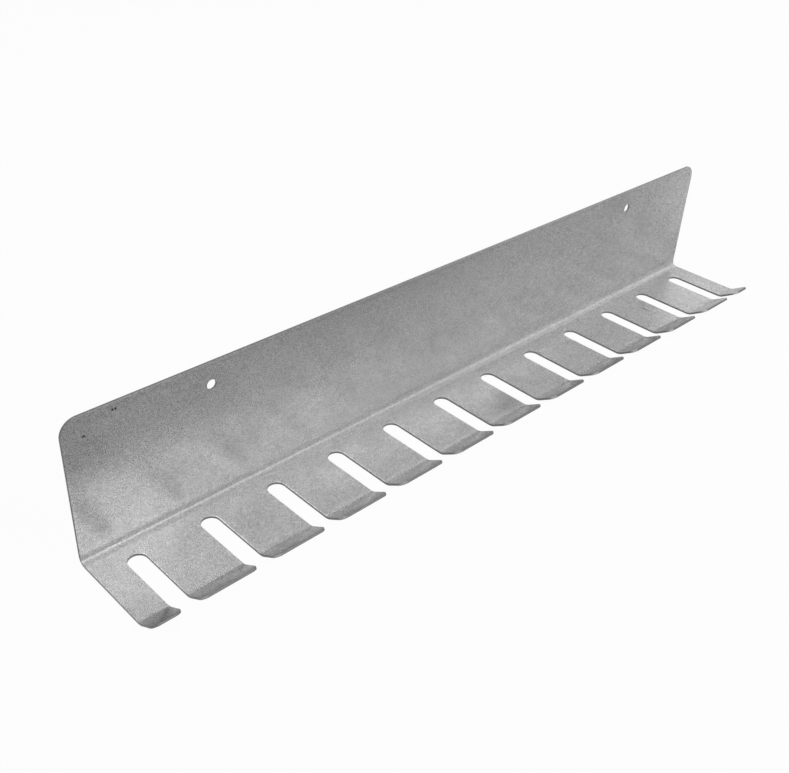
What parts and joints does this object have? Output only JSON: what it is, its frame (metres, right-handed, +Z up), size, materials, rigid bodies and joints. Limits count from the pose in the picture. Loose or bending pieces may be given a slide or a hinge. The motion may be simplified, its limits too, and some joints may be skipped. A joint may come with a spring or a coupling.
{
  "type": "clamp rack",
  "caption": "Long folded sheet-steel wall rack: an upright back plate with screw holes, and a shelf slotted into fingers with upturned lips that hold hanging bar clamps.",
  "frame": {"origin": "on the wall face of the back plate, midway between the two screw holes", "axes": "+X along the rack, to the right as seen from the front; +Y into the wall; +Z up"},
  "size_m": [0.6, 0.0773, 0.098],
  "materials": {
    "galvanised_sheet": "bare galvanised sheet, satin grey with a fine mottled spangle"
  },
  "bodies": {
    "root": {"back_plate": "galvanised_sheet", "main_fold": "galvanised_sheet", "shelf_web": "galvanised_sheet", "finger_01": "galvanised_sheet", "finger_02": "galvanised_sheet", "finger_03": "galvanised_sheet", "finger_04": "galvanised_sheet", "finger_05": "galvanised_sheet", "finger_06": "galvanised_sheet", "finger_07": "galvanised_sheet", "finger_08": "galvanised_sheet", "finger_09": "galvanised_sheet", "finger_10": "galvanised_sheet", "finger_11": "galvanised_sheet", "finger_12": "galvanised_sheet", "finger_13": "galvanised_sheet", "lip_01": "galvanised_sheet", "lip_02": "galvanised_sheet", "lip_03": "galvanised_sheet", "lip_04": "galvanised_sheet", "lip_05": "galvanised_sheet", "lip_06": "galvanised_sheet", "lip_07": "galvanised_sheet", "lip_08": "galvanised_sheet", "lip_09": "galvanised_sheet", "lip_10": "galvanised_sheet", "lip_11": "galvanised_sheet", "lip_12": "galvanised_sheet", "lip_13": "galvanised_sheet"}
  },
  "joints": []
}
